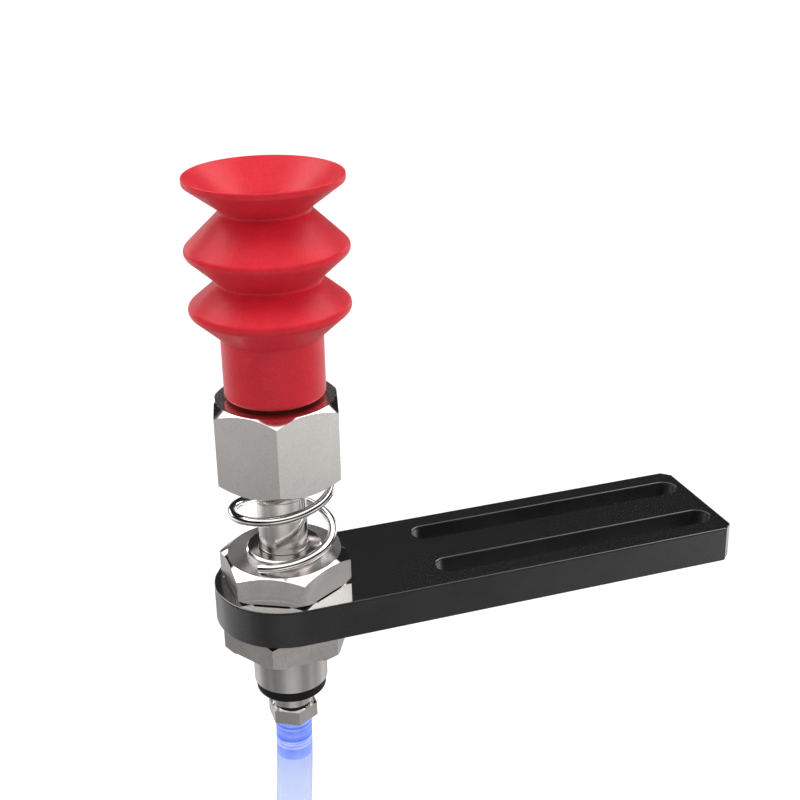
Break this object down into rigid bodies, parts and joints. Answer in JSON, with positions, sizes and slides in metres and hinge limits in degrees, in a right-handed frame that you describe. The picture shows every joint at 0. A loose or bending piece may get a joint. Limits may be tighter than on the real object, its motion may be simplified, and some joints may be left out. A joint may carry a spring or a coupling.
{
  "type": "suction cup mount",
  "caption": "Slotted black arm carrying a sprung hollow plunger with a red bellows suction cup and a short blue air hose.",
  "frame": {"origin": "on the underside of the arm, midway between its two slots", "axes": "+Z is square to the arm, from its underside to the cup; the arm runs along Y with the plunger at its -Y end; +X is across the arm"},
  "size_m": [0.0248, 0.0899, 0.2201],
  "materials": {
    "black_anodised": "black anodised, semi-gloss",
    "polished_steel": "ground and polished",
    "satin_nickel": "satin nickel plate",
    "bronze": "sintered bearing bronze",
    "brass": "turned",
    "red_silicone": "matt moulded silicone",
    "black_rubber": "semi-matt",
    "blue_hose": "clear blue polyurethane"
  },
  "bodies": {
    "arm": {"bracket_arm": "black_anodised", "guide_bush": "polished_steel", "upper_liner": "bronze", "lower_liner": "bronze", "upper_nut": "satin_nickel", "lower_nut": "satin_nickel"},
    "spring": {"spring": "polished_steel"},
    "plunger": {"plunger_rod": "polished_steel", "bumper_ring": "black_rubber", "hex_holder": "satin_nickel", "holder_seal": "black_rubber", "cup_nipple": "brass", "nipple_seal": "black_rubber", "suction_cup": "red_silicone", "barb_fitting": "satin_nickel", "fitting_seal": "black_rubber", "air_hose": "blue_hose", "hose_end_fitting": "satin_nickel", "hose_end_seal": "black_rubber"}
  },
  "joints": [
    {"name": "plunger_turn", "type": "hinge", "parent": "arm", "child": "spring", "pos_m": [0, -0.05, 0], "axis": [0, 0, 1], "continuous": true},
    {"name": "plunger_slide", "type": "slide", "parent": "spring", "child": "plunger", "axis": [0, 0, 1], "range_m": [-0.009, 0], "stiffness_N_per_m": 1400, "springref_m": 0.0045, "deforming": ["spring"]}
  ]
}
